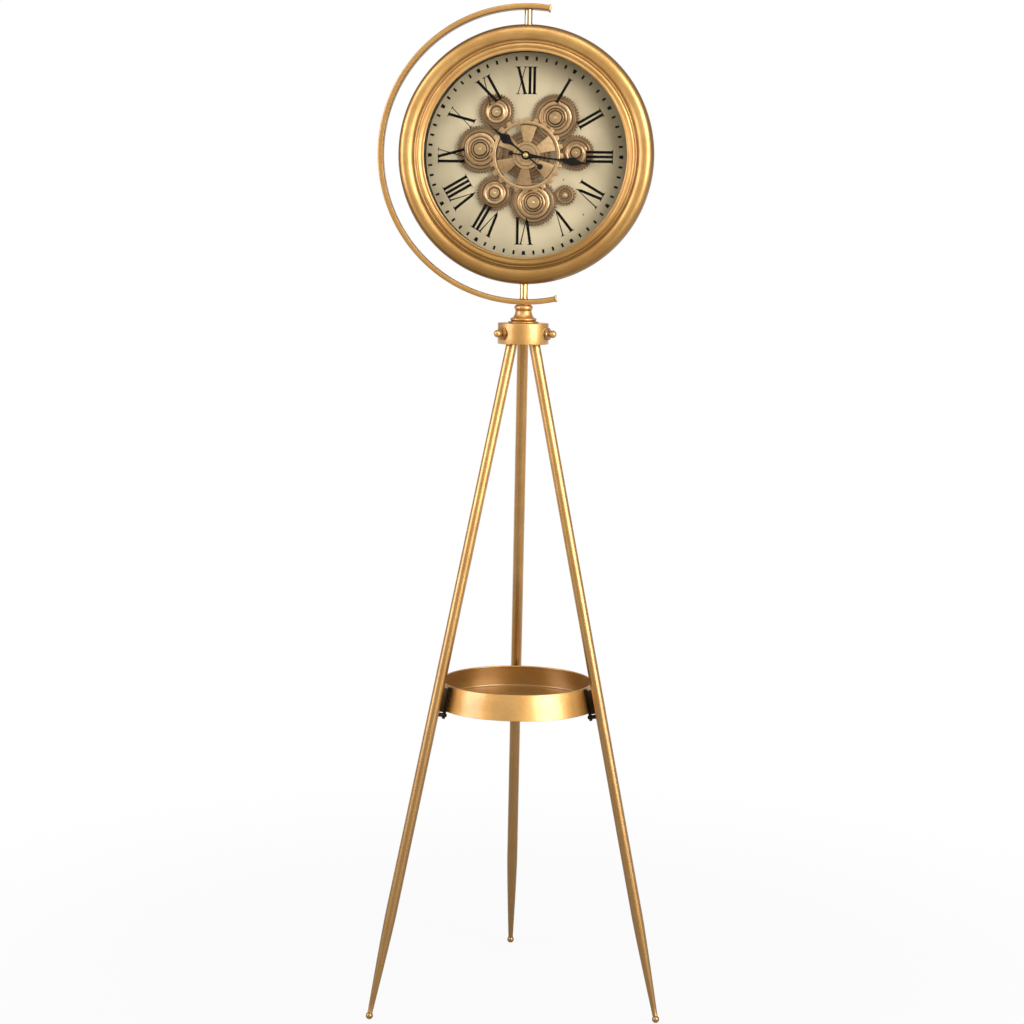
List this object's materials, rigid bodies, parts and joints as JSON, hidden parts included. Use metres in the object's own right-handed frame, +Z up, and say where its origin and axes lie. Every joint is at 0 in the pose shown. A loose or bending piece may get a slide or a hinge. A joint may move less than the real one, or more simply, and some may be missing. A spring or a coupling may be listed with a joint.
{
  "type": "tripod floor clock",
  "caption": "Floor clock with a round gear dial that swivels in a C-shaped arc, on a slender metal tripod with a round tray.",
  "frame": {"origin": "on the floor, at the middle of the clock's bounding box", "axes": "+Z up, the clock face looks along -Y, +X to the right of someone who faces the clock"},
  "size_m": [0.4576, 0.4086, 1.5202],
  "materials": {
    "antique_brass": "satin, fine brushed grain, browned in the corners",
    "polished_brass": "polished",
    "gear_bronze": "satin with dark patina in the recesses",
    "dark_bronze": "dark brown satin",
    "black_paint": "satin black",
    "dial_paint": "matt cream, darker towards the edge",
    "black_plastic": "moulded matt",
    "zinc_steel": "plain zinc",
    "clear_glass": "clear, flat"
  },
  "bodies": {
    "stand": {"leg_front_left": "antique_brass", "leg_front_right": "antique_brass", "leg_rear": "antique_brass", "foot_front_left": "antique_brass", "foot_front_right": "antique_brass", "foot_rear": "antique_brass", "leg_nut_front_left": "antique_brass", "leg_nut_front_right": "antique_brass", "leg_nut_rear": "antique_brass", "leg_bolt_front_left": "antique_brass", "leg_bolt_front_right": "antique_brass", "leg_bolt_rear": "antique_brass", "tray_bracket_front_left": "dark_bronze", "tray_bracket_front_right": "dark_bronze", "tray_bracket_rear": "dark_bronze", "tray_screw_front_left": "dark_bronze", "tray_screw_front_right": "dark_bronze", "tray_screw_rear": "dark_bronze", "tray": "antique_brass", "collar": "antique_brass", "turned_post": "antique_brass", "centre_bolt": "zinc_steel", "arc_bar": "antique_brass", "arc_end_cap_top": "antique_brass", "arc_end_cap_bottom": "antique_brass"},
    "head": {"pivot_post_top": "polished_brass", "pivot_post_bottom": "polished_brass", "bezel": "antique_brass", "case_shell": "antique_brass", "back_cover": "antique_brass", "cover_screw_1": "zinc_steel", "cover_screw_2": "zinc_steel", "cover_screw_3": "zinc_steel", "cover_screw_4": "zinc_steel", "glass": "clear_glass", "inner_wall": "black_paint", "dial": "dial_paint", "gear_plate": "zinc_steel", "movement": "black_plastic", "battery": "zinc_steel", "gear_motor": "zinc_steel"},
    "centre_train": {"centre_gear": "gear_bronze", "spoked_wheel": "gear_bronze"},
    "upper_right_wheel": {"gear_upper_right": "gear_bronze"},
    "left_wheel": {"gear_left": "gear_bronze"},
    "bottom_wheel": {"gear_bottom": "gear_bronze"},
    "right_wheel": {"gear_right": "gear_bronze"},
    "upper_left_wheel": {"gear_upper_left": "gear_bronze"},
    "lower_left_wheel": {"gear_lower_left": "gear_bronze"},
    "pinion_wheel": {"pinion_lower_right": "gear_bronze"},
    "minute_pointer": {"minute_hand": "black_paint", "hand_nut": "polished_brass"},
    "hour_pointer": {"hour_hand": "black_paint"},
    "setting_knob": {"set_knob": "black_plastic"}
  },
  "joints": [
    {"name": "head_swivel", "type": "hinge", "parent": "stand", "child": "head", "pos_m": [-0.00635, -0.04945, 1.2978], "axis": [0, 0, 1], "continuous": true},
    {"name": "centre_spin", "type": "hinge", "parent": "head", "child": "centre_train", "pos_m": [-0.00635, -0.04355, 1.2978], "axis": [0, -1, 0], "continuous": true},
    {"name": "upper_right_spin", "type": "hinge", "parent": "head", "child": "upper_right_wheel", "pos_m": [0.03619, -0.04355, 1.35405], "axis": [0, -1, 0], "continuous": true},
    {"name": "left_spin", "type": "hinge", "parent": "head", "child": "left_wheel", "pos_m": [-0.07635, -0.04355, 1.30639], "axis": [0, -1, 0], "continuous": true},
    {"name": "bottom_spin", "type": "hinge", "parent": "head", "child": "bottom_wheel", "pos_m": [0.00529, -0.04355, 1.22825], "axis": [0, -1, 0], "continuous": true},
    {"name": "right_spin", "type": "hinge", "parent": "head", "child": "right_wheel", "pos_m": [0.06816, -0.04355, 1.30267], "axis": [0, -1, 0], "continuous": true},
    {"name": "upper_left_spin", "type": "hinge", "parent": "head", "child": "upper_left_wheel", "pos_m": [-0.05241, -0.04355, 1.36197], "axis": [0, -1, 0], "continuous": true},
    {"name": "lower_left_spin", "type": "hinge", "parent": "head", "child": "lower_left_wheel", "pos_m": [-0.05377, -0.04355, 1.24145], "axis": [0, -1, 0], "continuous": true},
    {"name": "pinion_spin", "type": "hinge", "parent": "head", "child": "pinion_wheel", "pos_m": [0.05298, -0.04355, 1.23979], "axis": [0, -1, 0], "continuous": true},
    {"name": "minute_turn", "type": "hinge", "parent": "head", "child": "minute_pointer", "pos_m": [-0.00635, -0.04355, 1.2978], "axis": [0, 1, 0], "continuous": true},
    {"name": "hour_turn", "type": "hinge", "parent": "head", "child": "hour_pointer", "pos_m": [-0.00635, -0.04355, 1.2978], "axis": [0, 1, 0], "continuous": true},
    {"name": "knob_turn", "type": "hinge", "parent": "head", "child": "setting_knob", "pos_m": [-0.02235, -0.01605, 1.2978], "axis": [0, 1, 0], "continuous": true}
  ],
  "couplings": [
    {"joint": "upper_right_spin", "follows": "centre_spin", "ratio": -1.0417},
    {"joint": "left_spin", "follows": "centre_spin", "ratio": -1.0417},
    {"joint": "bottom_spin", "follows": "centre_spin", "ratio": -1.0417},
    {"joint": "right_spin", "follows": "centre_spin", "ratio": 1.3889},
    {"joint": "upper_left_spin", "follows": "centre_spin", "ratio": 1.3889},
    {"joint": "lower_left_spin", "follows": "centre_spin", "ratio": 1.3889},
    {"joint": "pinion_spin", "follows": "centre_spin", "ratio": 2.5},
    {"joint": "hour_turn", "follows": "minute_turn", "ratio": 0.083333},
    {"joint": "knob_turn", "follows": "minute_turn", "ratio": 1}
  ]
}
